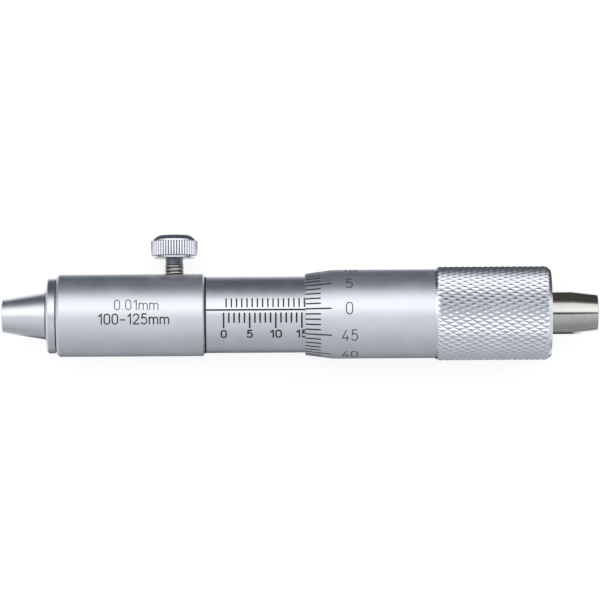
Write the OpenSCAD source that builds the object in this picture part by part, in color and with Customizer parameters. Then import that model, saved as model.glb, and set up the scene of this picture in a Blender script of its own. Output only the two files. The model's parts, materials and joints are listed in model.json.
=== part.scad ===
// Tubular inside micrometer, lying on its side as it comes to rest on a bench.
// +X is the measuring axis. It runs from the anvil's measuring face, at the origin,
// to the spindle's measuring face. +Z is up from the bench.

/* [Travel] */
// How far the spindle can be screwed out
travel = 25; // [22:0.5:26]
// How far the spindle is screwed out as shown
reading = 15.5; // [0:0.5:22]

/* [Anvil] */
// Length of the conical nose, from its measuring face to the flange
nose_len = 8.7; // [8:0.1:12]
// Diameter of the nose at the measuring face
nose_tip_d = 6.45; // [5.6:0.05:7]
// Diameter of the nose where it meets the flange
nose_base_d = 9.1; // [8.4:0.05:11]
// How much further in than the body's side the flange stops
flange_step = 0.7; // [0.2:0.05:1]
// Thickness of the flange
flange_w = 1.9; // [1.4:0.1:3]
// How much further the rim of the flange lies back than its middle
flange_dish = 0.25; // [0.1:0.05:0.5]
// Length of the spigot that screws into the body
spigot_len = 5; // [3:0.5:7]

/* [Measuring faces] */
// Spherical radius that both measuring faces are ground to
face_r = 18; // [12:1:40]
// Diameter of the carbide inserts
insert_d = 4.4; // [3:0.1:5]
// Length of the carbide inserts
insert_len = 1.8; // [1.2:0.1:2.4]

/* [Body] */
// Wall of the body, round the barrel
body_wall = 1.605; // [1.2:0.005:2.4]
// Length of the body
body_len = 28.75; // [27:0.25:34]
// Chamfer on both ends of the body
body_chamfer = 0.55; // [0.3:0.05:0.8]
// Relief groove between the flange and the body
seat_groove = 0.2; // [0.1:0.05:0.4]

/* [Sleeve and barrel] */
// Outside diameter of the inner barrel, which the body and the sleeve fit
barrel_d = 12.6; // [11.4:0.1:14]
// Wall of the graduated sleeve
sleeve_wall = 1.03; // [0.7:0.01:1.4]
// From the end of the body to the zero line of the scale
scale_start = 3.45; // [2:0.05:6]
// Length of the barrel's internal thread
nut_len = 14; // [10:0.5:16]
// Width of the slits that let the internal thread be closed up
slit_w = 0.8; // [0.4:0.1:1.2]
// Width of the ring that closes the slits
adjuster_w = 5; // [3:0.5:6]
// Wall of that ring
adjuster_wall = 1.23; // [0.8:0.01:1.5]
// How deep the barrel is turned down for that ring
adjuster_step = 0.7; // [0.4:0.05:0.9]

/* [Thimble] */
// Length of the thimble
thimble_len = 47.4; // [45:0.2:52]
// Wall of the plain part
thimble_wall = 1.125; // [0.9:0.025:1.6]
// Wall at the bevelled reading edge
edge_wall = 0.4; // [0.25:0.05:0.6]
// Length of the reading bevel
bevel_len = 5.35; // [3:0.05:8]
// How far the reading edge stands past the scale line that it has just uncovered
edge_lead = 0.2; // [0.05:0.05:0.4]
// Thickness of the end wall, with the pocket for the ring nut
end_wall = 7.9; // [7:0.1:9]

/* [Knurled grip] */
// How far the points of the knurl stand out of the plain part
knurl_rise = 0.485; // [0.4:0.005:0.8]
// Length of the grip
knurl_len = 22.2; // [16:0.2:26]
// Depth of the knurl
knurl_depth = 0.32; // [0.15:0.01:0.45]
// Diamonds round the grip
knurl_count = 48; // [36:1:54]
// Diamonds along the grip
knurl_rows = 9; // [7:1:11]
// How far the rows of diamonds drift round the grip, in degrees per millimetre
knurl_drift = 0.51; // [0:0.01:1]
// Chamfer on the end of the grip, along the axis
end_chamfer = 0.9; // [0.5:0.05:1.4]
// Chamfer on the end of the grip, across the axis
end_drop = 0.77; // [0.5:0.01:1]

/* [Spindle] */
// Diameter of the end that shows
spindle_d = 8.2; // [7.6:0.05:9]
// How far the spindle stands out of the thimble
spindle_out = 9.4; // [7.5:0.1:14]
// Length of the tapered tip
tip_len = 5.3; // [3:0.1:6]
// Diameter of the tip at the measuring face
tip_d = 7.05; // [6:0.05:7.4]
// Diameter of the screw thread
thread_d = 7; // [6.6:0.1:7.6]
// Diameter of the plain tail that the lock grips
tail_d = 5.5; // [5:0.1:5.8]
// Width of the ring nut that holds the thimble
ring_nut_w = 4; // [3:0.1:4.6]
// Wall of the ring nut
ring_nut_wall = 1.95; // [1.6:0.05:2.2]
// How far the ring nut's thread stands out of the end that shows
nut_thread_rise = 0.4; // [0.2:0.05:0.6]
// How much wider the taper is at its inner end
taper_rise = 0.6; // [0.3:0.05:0.8]

/* [Lock screw] */
// From the end of the body back to the screw
screw_setback = 6.05; // [5:0.05:7]
// Diameter of the knob over its ridges
knob_d = 8.93; // [7:0.01:10]
// Height of the ridged band
knob_band = 2.75; // [2:0.05:4]
// Height of the coned top
knob_crown = 1.1; // [0.6:0.05:1.6]
// How far in from the ridges the coned top starts
crown_step = 0.465; // [0.35:0.005:0.8]
// How far in the cone comes
crown_in = 1.25; // [0.6:0.05:1.8]
// Height of the chamfer under the band
knob_under = 0.55; // [0.3:0.05:1]
// Ridges round the knob
knob_ridges = 50; // [30:1:60]
// Depth of the grooves between the ridges
ridge_depth = 0.22; // [0.1:0.01:0.3]
// Gap between the body and the knob
knob_gap = 3.1; // [2.4:0.1:5]
// Diameter of the stud's thread
stud_d = 3.85; // [3:0.05:4.2]
// Depth of the stud's thread
stud_thread_depth = 0.275; // [0.2:0.005:0.35]
// Length of the plain neck under the knob
neck_len = 1.25; // [0.5:0.05:1.6]
// Length of the brass pad
pad_len = 2.2; // [1.5:0.1:2.6]

/* [Clearances] */
// Radial gap between pieces that are fixed together
fixed_gap = 0.02; // [0.01:0.01:0.05]
// Radial gap between pieces that slide or turn
running_gap = 0.05; // [0.02:0.01:0.08]
// Radial gap between the sleeve and the thimble
thimble_gap = 0.1; // [0.06:0.01:0.15]
// Gap between the pad and the spindle while the lock is open
pad_gap = 0.2; // [0.15:0.05:0.4]

/* [Hidden] */
$fn = 96;

// What lies where along the measuring axis
body_x = nose_len + flange_w + seat_groove;
body_end_x = body_x + body_len;
screw_x = body_end_x - screw_setback;
zero_x = body_end_x + scale_start;
thimble_x = zero_x + reading + edge_lead;
thimble_end_x = thimble_x + thimble_len;
end_wall_x = thimble_end_x - end_wall;
nut_seat_x = thimble_end_x - ring_nut_w;
knurl_x = thimble_end_x - knurl_len;
face_x = thimble_end_x + spindle_out;
travel_left = travel - reading;

// Diameters, from the barrel out and from the spindle out
bore_d = barrel_d + 2 * fixed_gap;
body_d = bore_d + 2 * body_wall;
flange_d = body_d - 2 * flange_step;
sleeve_d = bore_d + 2 * sleeve_wall;
thimble_bore_d = sleeve_d + 2 * thimble_gap;
edge_d = thimble_bore_d + 2 * edge_wall;
thimble_d = thimble_bore_d + 2 * thimble_wall;
knurl_d = thimble_d + 2 * knurl_rise;
adjuster_thread_d = barrel_d - 2 * adjuster_step;
adjuster_bore_d = adjuster_thread_d + 2 * fixed_gap;
adjuster_d = adjuster_bore_d + 2 * adjuster_wall;
guide_d = tail_d + 2 * running_gap;
nut_thread_d = thread_d + 2 * running_gap;
ring_nut_thread_d = spindle_d + 2 * nut_thread_rise;
ring_nut_bore_d = ring_nut_thread_d + 2 * running_gap;
ring_nut_d = ring_nut_bore_d + 2 * ring_nut_wall;
taper_d = ring_nut_thread_d + 2 * taper_rise;
edge_break = 0.2;
knurl_lip = 0.03;
// Turn of the knurl, so that two of its points carry the instrument when it lies on its knob
knurl_turn = 4.75;
spanner_hole_d = 1.2;
thread_runout = 0.15;
// How far a cut runs past the surface that it opens
past = 1;
overcut = 0.01;

// Room that moving pieces have
tail_room = 0.3;
thread_room = 0.4;
end_room = 1.2;
tail_end_room = 0.4;
thread_margin = 0.5;
spigot_room = 0.2;
sleeve_room = 0.05;

// The barrel stops just short of the thimble's end wall when the spindle is screwed right in
barrel_land = 1;
barrel_x = body_x + spigot_len + spigot_room;
barrel_end_x = end_wall_x - reading - end_room;
barrel_thread_x = barrel_end_x - nut_len;
adjuster_x = barrel_end_x - barrel_land - adjuster_w;
sleeve_x = body_end_x + sleeve_room;
sleeve_end_x = adjuster_x - barrel_land;

// The spindle's thread stays in the barrel's, and its tail under the lock, over the whole travel
thread_x = barrel_thread_x - travel_left - thread_margin;
barrel_relief_x = thread_x - reading - thread_margin;
tail_grip = 1.2;
tail_x = screw_x - tail_grip - travel_left;
anvil_bore_x = tail_x - reading - tail_end_room;

// The lock screw, by distance from the measuring axis
knob_base = body_d / 2 + knob_gap;
band_base = knob_base + knob_under;
band_top = band_base + knob_band;
knob_top = band_top + knob_crown;
pad_base = tail_d / 2 + pad_gap;
pad_top = pad_base + pad_len;
stud_hole_d = stud_d + 2 * running_gap;
stud_core_d = stud_d - 2 * stud_thread_depth;

// It rolls until the knob's band and the grip are both on the bench
rest_lean = asin(knurl_d / 2 / norm([band_top, knob_d / 2])) - atan(knob_d / 2 / band_top);

satin_chrome = "#c6cad2";
ground_steel = "#8f8d89";
bright_chrome = "#e6e8ec";
dark_steel = "#6c7076";
carbide_grey = "#7b7d80";
pad_brass = "#c9a24e";

// From the upright pose, with the lock screw on top and the scale in front, to the bench
module laid_down() {
    rotate([-90 - rest_lean, 0, 0]) children();
}

// A turned piece. The outline is a list of [radius, place along the axis].
module turned(outline) {
    rotate([0, 90, 0]) rotate_extrude() polygon(outline);
}

// A plain round bar or bore along the measuring axis
module bar(d, from_x, to_x) {
    translate([from_x, 0, 0]) rotate([0, 90, 0]) cylinder(d = d, h = to_x - from_x);
}

// A round hole or pin along the lock screw
module screw_bar(d, from_z, to_z) {
    translate([screw_x, 0, from_z]) cylinder(d = d, h = to_z - from_z);
}

// What grinding takes off a blank to leave a spherical measuring face at x.
// The metal lies on the right of that face for side = 1, and on its left for side = -1.
module face_waste(x, side) {
    depth = 1;
    difference() {
        bar(2 * face_r, x - (side > 0 ? past : depth), x + (side > 0 ? depth : past));
        translate([x + side * face_r, 0, 0]) rotate([0, 0, 90]) sphere(r = face_r);
    }
}

// Two holes across the axis, as a pin spanner needs
module spanner_holes(d, pitch_d, from_x, to_x) {
    for (side = [-1, 1]) translate([0, side * pitch_d / 2, 0]) bar(d, from_x, to_x);
}

// Conical nose, flange and hollow spigot, turned in one piece
module anvil() {
    rim_x = nose_len + flange_dish;
    back_x = nose_len + flange_w;
    spigot_d = bore_d - 2 * fixed_gap;
    outline = [
        [0, 0], [nose_tip_d / 2, 0], [nose_base_d / 2, nose_len],
        [flange_d / 2 - 2 * edge_break, rim_x], [flange_d / 2, rim_x + 1.5 * edge_break],
        [flange_d / 2, back_x - edge_break], [flange_d / 2 - edge_break, back_x],
        [spigot_d / 2, back_x], [spigot_d / 2, body_x + spigot_len], [0, body_x + spigot_len]
    ];
    color(satin_chrome) difference() {
        turned(outline);
        face_waste(0, 1);
        bar(insert_d + 2 * fixed_gap, -past, insert_len + fixed_gap);
        bar(tail_d + 2 * tail_room, anvil_bore_x, body_x + spigot_len + past);
    }
}

module anvil_insert() {
    color(carbide_grey) difference() {
        bar(insert_d, 0, insert_len);
        face_waste(0, 1);
    }
}

// Outer tube that carries the anvil, the barrel and the lock screw
module body() {
    outline = [
        [bore_d / 2, body_x], [body_d / 2 - body_chamfer, body_x], [body_d / 2, body_x + body_chamfer],
        [body_d / 2, body_end_x - body_chamfer], [body_d / 2 - body_chamfer, body_end_x],
        [bore_d / 2, body_end_x]
    ];
    color(satin_chrome) difference() {
        turned(outline);
        screw_bar(stud_hole_d, 0, body_d);
    }
}

// Inner barrel: it guides the spindle's tail, and its slit end holds the internal thread
module barrel() {
    slits = 3;
    slit_x = adjuster_x - 2 * barrel_land;
    step_x = adjuster_x - barrel_land / 2;
    relief_d = thread_d + 2 * thread_room;
    outline = [
        [guide_d / 2, barrel_x], [barrel_d / 2 - edge_break, barrel_x],
        [barrel_d / 2, barrel_x + edge_break], [barrel_d / 2, step_x], [adjuster_thread_d / 2, step_x],
        [adjuster_thread_d / 2, barrel_end_x - edge_break],
        [adjuster_thread_d / 2 - edge_break, barrel_end_x],
        [nut_thread_d / 2, barrel_end_x], [nut_thread_d / 2, barrel_thread_x],
        [relief_d / 2, barrel_thread_x], [relief_d / 2, barrel_relief_x], [guide_d / 2, barrel_relief_x]
    ];
    color(ground_steel) difference() {
        turned(outline);
        screw_bar(stud_hole_d, 0, barrel_d);
        for (i = [0 : slits - 1]) rotate([i * 360 / slits, 0, 0])
            translate([slit_x, -slit_w / 2, 0]) cube([barrel_end_x - slit_x + past, slit_w, barrel_d]);
    }
}

// Thin tube that carries the scale. A hook spanner turns it, by a hole in its back, to set zero.
module graduated_sleeve() {
    inner_r = bore_d / 2;
    spanner_x = sleeve_x + 2;
    outline = [
        [inner_r, sleeve_x], [sleeve_d / 2, sleeve_x], [sleeve_d / 2, sleeve_end_x - edge_break],
        [sleeve_d / 2 - edge_break, sleeve_end_x], [inner_r, sleeve_end_x]
    ];
    color(satin_chrome) difference() {
        turned(outline);
        translate([spanner_x, sleeve_d / 4, 0]) rotate([-90, 0, 0])
            cylinder(d = spanner_hole_d, h = sleeve_d);
    }
}

// Ring on the barrel's slit end that takes the play out of the thread
module adjusting_ring() {
    inner_r = adjuster_bore_d / 2;
    notch = 1;
    outline = [
        [inner_r, adjuster_x], [adjuster_d / 2 - edge_break, adjuster_x],
        [adjuster_d / 2, adjuster_x + edge_break], [adjuster_d / 2, adjuster_x + adjuster_w],
        [inner_r, adjuster_x + adjuster_w]
    ];
    color(ground_steel) difference() {
        turned(outline);
        for (turn = [0 : 90 : 270]) rotate([turn, 0, 0])
            translate([adjuster_x + adjuster_w - notch, -notch / 2, inner_r - notch / 2])
                cube([2 * notch, notch, adjuster_d]);
    }
}

// Measuring screw: plain tail, thread, taper for the thimble, and the tapered end that shows
module spindle() {
    nose_x = thimble_end_x + thread_runout;
    outline = [
        [0, tail_x], [tail_d / 2 - edge_break, tail_x], [tail_d / 2, tail_x + edge_break],
        [tail_d / 2, thread_x], [thread_d / 2, thread_x + (thread_d - tail_d) / 2],
        [thread_d / 2, end_wall_x], [taper_d / 2, end_wall_x], [ring_nut_thread_d / 2, nut_seat_x],
        [ring_nut_thread_d / 2, nose_x], [spindle_d / 2, nose_x], [spindle_d / 2, face_x - tip_len],
        [tip_d / 2, face_x], [0, face_x]
    ];
    color(ground_steel) difference() {
        turned(outline);
        face_waste(face_x, -1);
        bar(insert_d + 2 * fixed_gap, face_x - insert_len - fixed_gap, face_x + past);
    }
}

module spindle_insert() {
    color(carbide_grey) difference() {
        bar(insert_d, face_x - insert_len, face_x);
        face_waste(face_x, -1);
    }
}

// Points of the knurl lie where the row and the step are not both odd or both even
function knurl_radius(row, step, last_row) =
    row == 0 ? thimble_d / 2 + knurl_lip :
    row > last_row ? knurl_d / 2 - end_drop :
    (row + step) % 2 == 1 ? knurl_d / 2 : knurl_d / 2 - knurl_depth;

// Diamond knurl: two crossing sets of grooves leave rows of four-sided points
module knurled_ring(core_d) {
    last_row = 2 * knurl_rows + 1;
    steps = 2 * knurl_count;
    pitch = (knurl_len - end_chamfer) / last_row;
    outer = [for (row = [0 : last_row + 1], step = [0 : steps - 1])
        let (
            r = knurl_radius(row, step, last_row),
            x = row > last_row ? thimble_end_x : knurl_x + row * pitch,
            turn = step * 360 / steps + knurl_drift * (x - knurl_x)
        ) [x, r * cos(turn), r * sin(turn)]];
    core = [for (x = [knurl_x, thimble_end_x], step = [0 : steps - 1])
        let (turn = step * 360 / steps + knurl_drift * (x - knurl_x))
            [x, core_d / 2 * cos(turn), core_d / 2 * sin(turn)]];
    core_at = len(outer);
    last_at = (last_row + 1) * steps;
    skin = [for (row = [0 : last_row], step = [0 : steps - 1])
        let (
            a = row * steps + step,
            b = row * steps + (step + 1) % steps,
            c = a + steps,
            d = b + steps
        ) each (row + step) % 2 == 0 ? [[a, d, b], [a, c, d]] : [[a, c, b], [b, c, d]]];
    walls = [for (step = [0 : steps - 1])
        let (
            next = (step + 1) % steps,
            p = core_at + step,
            q = core_at + next
        ) each [
            [p, q, q + steps], [p, q + steps, p + steps],
            [p, step, next], [p, next, q],
            [p + steps, last_at + next, last_at + step], [p + steps, q + steps, last_at + next]
        ]];
    polyhedron(points = concat(outer, core), faces = concat(skin, walls));
}

// Thimble with its reading bevel and knurled grip, turned in one piece
module thimble() {
    core_d = thimble_bore_d + thimble_wall;
    lap = 0.2;
    outline = [
        [0, thimble_x], [edge_d / 2, thimble_x], [thimble_d / 2, thimble_x + bevel_len],
        [thimble_d / 2, knurl_x + lap], [core_d / 2 + lap, knurl_x + lap],
        [core_d / 2 + lap, thimble_end_x], [0, thimble_end_x]
    ];
    taper_hole = [
        [0, end_wall_x - overcut], [taper_d / 2 + running_gap, end_wall_x - overcut],
        [ring_nut_bore_d / 2, nut_seat_x + overcut], [0, nut_seat_x + overcut]
    ];
    color(satin_chrome) rotate([knurl_turn, 0, 0]) difference() {
        union() {
            turned(outline);
            knurled_ring(core_d);
        }
        bar(thimble_bore_d, thimble_x - past, end_wall_x);
        turned(taper_hole);
        bar(ring_nut_d + 2 * fixed_gap, nut_seat_x, thimble_end_x + past);
    }
}

// Ring nut in the thimble's end that draws it onto the spindle's taper
module thimble_nut() {
    inner_r = ring_nut_bore_d / 2;
    hole_depth = 1.5;
    hole_pitch_d = ring_nut_bore_d + ring_nut_wall;
    outline = [
        [inner_r, nut_seat_x + fixed_gap], [ring_nut_d / 2, nut_seat_x + fixed_gap],
        [ring_nut_d / 2, thimble_end_x - edge_break], [ring_nut_d / 2 - edge_break, thimble_end_x],
        [inner_r, thimble_end_x]
    ];
    color(ground_steel) difference() {
        turned(outline);
        spanner_holes(spanner_hole_d, hole_pitch_d, thimble_end_x - hole_depth, thimble_end_x + past);
    }
}

// Threaded stud, pressed into the knob
module lock_stud() {
    neck_base = knob_base - neck_len;
    tip = pad_top + fixed_gap;
    tip_chamfer = 0.3;
    neck_cone = 0.25;
    outline = [
        [0, tip], [stud_core_d / 2, tip], [stud_d / 2, tip + tip_chamfer],
        [stud_d / 2, neck_base - neck_cone], [stud_core_d / 2, neck_base],
        [stud_core_d / 2, band_top], [0, band_top]
    ];
    color(dark_steel) translate([screw_x, 0, 0]) rotate_extrude() polygon(outline);
}

// Knob with straight ridges round its band and a coned top
module lock_knob() {
    over = 0.1;
    crown_r = knob_d / 2 - crown_step;
    crown_rim = 0.2 * knob_crown;
    step = 360 / knob_ridges;
    crest = 0.2;
    ridges = [for (i = [0 : knob_ridges - 1], corner = [[-0.5, ridge_depth], [-crest, 0], [crest, 0]])
        let (
            r = knob_d / 2 - corner[1],
            turn = (i + corner[0]) * step
        ) r * [cos(turn), sin(turn)]];
    outline = [
        [0, knob_base], [knob_d / 2 - knob_under, knob_base], [knob_d / 2 + over, band_base + over],
        [knob_d / 2 + over, band_top], [crown_r, band_top], [crown_r, band_top + crown_rim],
        [crown_r - crown_in, knob_top], [0, knob_top]
    ];
    color(bright_chrome) translate([screw_x, 0, 0]) difference() {
        intersection() {
            rotate_extrude() polygon(outline);
            translate([0, 0, knob_base - past])
                linear_extrude(knob_top - knob_base + 2 * past) polygon(ridges);
        }
        translate([0, 0, knob_base - past])
            cylinder(d = stud_core_d + 2 * fixed_gap, h = band_top - knob_base + past + fixed_gap);
    }
}

// Brass pad that the stud presses on the spindle
module lock_pad() {
    color(pad_brass) screw_bar(stud_core_d, pad_base, pad_top);
}

laid_down() anvil();
laid_down() anvil_insert();
laid_down() body();
laid_down() barrel();
laid_down() graduated_sleeve();
laid_down() adjusting_ring();
laid_down() spindle();
laid_down() spindle_insert();
laid_down() thimble();
laid_down() thimble_nut();
laid_down() lock_stud();
laid_down() lock_knob();
laid_down() lock_pad();
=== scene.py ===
import json
import math

import bmesh
import bpy
import numpy as np
from mathutils import Matrix, Vector


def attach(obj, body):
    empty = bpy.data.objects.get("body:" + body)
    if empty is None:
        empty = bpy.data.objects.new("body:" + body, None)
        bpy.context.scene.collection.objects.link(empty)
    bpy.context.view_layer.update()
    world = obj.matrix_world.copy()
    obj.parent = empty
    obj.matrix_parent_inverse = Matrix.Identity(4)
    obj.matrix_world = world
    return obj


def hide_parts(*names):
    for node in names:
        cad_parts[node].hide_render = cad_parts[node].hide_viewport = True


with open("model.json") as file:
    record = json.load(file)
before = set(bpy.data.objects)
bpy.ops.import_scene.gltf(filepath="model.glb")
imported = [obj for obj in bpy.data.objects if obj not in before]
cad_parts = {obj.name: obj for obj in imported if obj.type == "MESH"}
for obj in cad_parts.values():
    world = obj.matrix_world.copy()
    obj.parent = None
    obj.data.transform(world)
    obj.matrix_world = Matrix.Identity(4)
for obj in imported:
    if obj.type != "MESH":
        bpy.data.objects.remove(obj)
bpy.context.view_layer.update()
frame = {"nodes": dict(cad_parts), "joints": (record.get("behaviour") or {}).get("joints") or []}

# Shapes are worked out in millimetres and stored in metres
MM = 0.001

# Directions: the measuring axis, the lock screw, and the side that carries the scale
JOINTS = {joint["name"]: joint for joint in frame["joints"]}
AXIS_WAY = Vector((1, 0, 0))
SCREW_WAY = Vector(JOINTS["lock_feed"]["axis"]).normalized()
SCALE_WAY = AXIS_WAY.cross(SCREW_WAY)
SCREW_X = JOINTS["lock_turn"]["pos_m"][0] / MM

# How finely round things are cut, the share of an edge that a fillet may take up, and the length
# under which two places are the same
AROUND = 160
ARC_STEP = math.radians(12)
FILLET_SHARE = 0.45
SLACK = 1e-4


def extent(node):
    """First and last place along the measuring axis, and the largest radius, of a turned node."""
    points = np.array([v.co for v in frame["nodes"][node].data.vertices]) / MM
    return points[:, 0].min(), points[:, 0].max(), np.hypot(points[:, 1], points[:, 2]).max()


# Places along the measuring axis and radii that the frame gives
_, SPIGOT_END_X, FLANGE_R = extent("anvil")
BODY_X, BODY_END_X, BODY_R = extent("body")
SLEEVE_X, SLEEVE_END_X, SLEEVE_R = extent("graduated_sleeve")
THIMBLE_X, THIMBLE_END_X, GRIP_R = extent("thimble")
TAIL_X, _, TAPER_R = extent("spindle")
_, _, INSERT_R = extent("anvil_insert")
_, FACE_X, _ = extent("spindle_insert")
BENCH_Z = -GRIP_R

# Measuring faces and inserts
FACE_R = 18.0
INSERT_LEN = 1.8
INSERT_GAP = 0.02
INSERT_BREAK = 0.01
FACE_BREAK = 0.02

# Anvil
NOSE_LEN = 8.7
NOSE_TIP_R = 3.225
NOSE_BASE_R = 4.55
FLANGE_DISH = 0.25
FLANGE_GAP = 0.2
FLANGE_END_X = BODY_X - FLANGE_GAP
SPIGOT_R = 6.3
TAIL_ROOM_R = 3.05
TAIL_ROOM_X = 6.9

# Body, sleeve and lock screw hole
TUBE_BORE_R = 6.32
BODY_CHAMFER = 0.55
SEAM_WIDTH = 0.25
STUD_HOLE_R = 1.975
SPANNER_HOLE_R = 0.6
SPANNER_IN = 2
SPANNER_X = SLEEVE_X + SPANNER_IN

# Thimble
THIMBLE_BORE_R = 7.45
EDGE_R = 7.85
PLAIN_R = 8.575
BEVEL_LEN = 5.35
GRIP_LEN = 22.4
END_WALL_IN = 7.9
NUT_IN = 4.0
BEVEL_END_X = THIMBLE_X + BEVEL_LEN
GRIP_X = THIMBLE_END_X - GRIP_LEN
END_WALL_X = THIMBLE_END_X - END_WALL_IN
NUT_SEAT_X = THIMBLE_END_X - NUT_IN
NUT_POCKET_R = 6.52
NUT_BORE_R = 4.55

# Knurl: two crossing sets of grooves, each with its starts round the grip and its pitch along it.
# A round of 1 would be a plain V.
KNURL_DEPTH = 0.28
GROOVE_ROUND = 1.28
RISING_STARTS = 51
RISING_PITCH = 2.60
FALLING_STARTS = 45
FALLING_PITCH = 1.92
KNURL_CUTS = 8
GRIP_LEAD = 0.95
GRIP_LEAD_R = 8.62
GRIP_CHAMFER = 0.9
GRIP_END_R = 8.29
GRIP_CREASE = 22
LEAD_END_X = GRIP_X + GRIP_LEAD
DROP_X = THIMBLE_END_X - GRIP_CHAMFER

# Spindle
SPINDLE_R = 4.1
TIP_R = 3.525
TIP_LEN = 5.3
THREAD_R = 3.5
THREAD_X = 57.5
TAIL_R = 2.75
NUT_THREAD_R = 4.5
NUT_THREAD_OUT = 0.15
NUT_THREAD_END_X = THIMBLE_END_X + NUT_THREAD_OUT

# Lock screw, by distance from the measuring axis
KNOB_BASE = 11.025
GROOVE_BASE = 11.36
BAND_BASE = 11.50
BAND_TOP = 14.325
KNOB_TOP = 15.425
KNOB_R = 4.465
KNOB_UNDER_R = 3.915
CROWN_R = 4.0
CROWN_TOP_R = 3.0
CROWN_STEP = 0.3
KNOB_RIDGES = 50
RIDGE_DEPTH = 0.22
RIDGE_ROUND = 1.7
RIDGE_CUTS = 8
KNOB_CREASE = 32
STUD_CORE_R = 1.69
STUD_R = 1.92
STUD_PITCH = 0.7
STUD_TIP = 5.17
STUD_IN_KNOB = 0.5
STUD_CREASE = 35
NECK_LEN = 1.25
NECK_BASE = KNOB_BASE - NECK_LEN

# Scales. Places round the instrument are degrees up from the middle of the photographed side.
MIDDLE_FROM_SCREW = 93.0
ZERO_FROM_BODY = 3.45
SCALE_ZERO_X = BODY_END_X + ZERO_FROM_BODY
SCALE_LEN = 25
DATUM_UP = 7.6
THIMBLE_ZERO_UP = 7.9
THIMBLE_DIVISIONS = 50
MARK_LIFT = 0.010
MARK_SINK = 0.03
MARK_CREASE = 40
NUMBERED_EVERY = 5


# Axes to turn pieces on

def turning_axis(origin_x, way, zero_way):
    """An axis to turn pieces on: where it starts, its way, and two ways across it."""
    return Vector((origin_x, 0, 0)), way, zero_way, way.cross(zero_way)


MEASURING_AXIS = turning_axis(0, AXIS_WAY, SCREW_WAY)
LOCK_AXIS = turning_axis(SCREW_X, SCREW_WAY, AXIS_WAY)


def way_round(axis, along, radius, turn):
    """Direction with a part along an axis and a part away from it."""
    _, way, zero_way, quarter_way = axis
    return way * along + (zero_way * math.cos(turn) + quarter_way * math.sin(turn)) * radius


def on_axis(axis, along, radius, turn):
    """Point at a place along an axis, a radius from it and an angle round it."""
    return axis[0] + way_round(axis, along, radius, turn)


# Outlines of turned pieces

def rounded(corners, closed):
    """Outline through (along, radius, fillet) corners, as places with their outward directions.

    The outside runs from left to right and the bore runs back. A fillet of 0 is a smooth point.
    """
    points = [np.array(c[:2], float) for c in corners]
    count = len(points)
    outline = []
    for i, corner in enumerate(corners):
        has_before = closed or i > 0
        has_after = closed or i < count - 1
        before = points[i] - points[i - 1] if has_before else points[i + 1] - points[i]
        after = points[(i + 1) % count] - points[i] if has_after else before
        long_before, long_after = np.linalg.norm(before), np.linalg.norm(after)
        before, after = before / long_before, after / long_after
        start = math.atan2(before[0], -before[1])
        bend = math.atan2(before[0] * after[1] - before[1] * after[0], before @ after)
        fillet = corner[2]
        if not (has_before and has_after) or fillet == 0:
            way = start + bend / 2
            outline.append((*points[i], math.cos(way), math.sin(way)))
            continue
        longest = FILLET_SHARE * min(long_before, long_after)
        reach = min(fillet * math.tan(abs(bend) / 2), longest)
        radius = reach / math.tan(abs(bend) / 2)
        side = math.copysign(1, bend)
        first_way = np.array([-before[1], before[0]])
        centre = points[i] - before * reach + first_way * side * radius
        steps = max(2, math.ceil(abs(bend) / ARC_STEP))
        for k in range(steps + 1):
            way = start + bend * k / steps
            out = np.array([math.cos(way), math.sin(way)])
            outline.append((*(centre - out * side * radius), *out))
    return outline


def domed(face_x, side, from_r, to_r, count=5):
    """Corners along a spherical measuring face. The metal is on its right for side = 1."""
    radii = np.linspace(from_r, to_r, count)
    return [(face_x + side * (FACE_R - math.sqrt(FACE_R ** 2 - r ** 2)), r, 0) for r in radii]


def spread(start, end, radius, count):
    """Smooth points along a plain cylinder."""
    return [(x, radius, 0) for x in np.linspace(start, end, count)]


# Meshes

def lathe(axis, outline, closed, around=AROUND, limit=None):
    """Points, faces and outward directions of a turned piece.

    limit gives the largest radius at an angle, for ridges cut along the axis.
    """
    points, ways, faces, rings = [], [], [], []
    for along, radius, way_along, way_out in outline:
        ring = []
        for j in range(1 if radius < 1e-6 else around):
            turn = 2 * math.pi * j / around
            reach = radius if limit is None else min(radius, limit(turn))
            ring.append(len(points))
            points.append(on_axis(axis, along, reach, turn))
            ways.append(way_round(axis, way_along, way_out, turn))
        rings.append(ring)
    pairs = list(zip(rings, rings[1:]))
    if closed:
        pairs.append((rings[-1], rings[0]))
    for near, far in pairs:
        for j in range(around):
            k = (j + 1) % around
            corners = [near[i % len(near)] for i in (j, k)] + [far[i % len(far)] for i in (k, j)]
            face = list(dict.fromkeys(corners))
            if len(face) > 2:
                faces.append(face)
    return points, faces, ways


def turned_shape(corners, closed=False):
    """Shape turned on the measuring axis, through (along, radius, fillet) corners."""
    return lathe(MEASURING_AXIS, rounded(corners, closed), closed)


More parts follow.
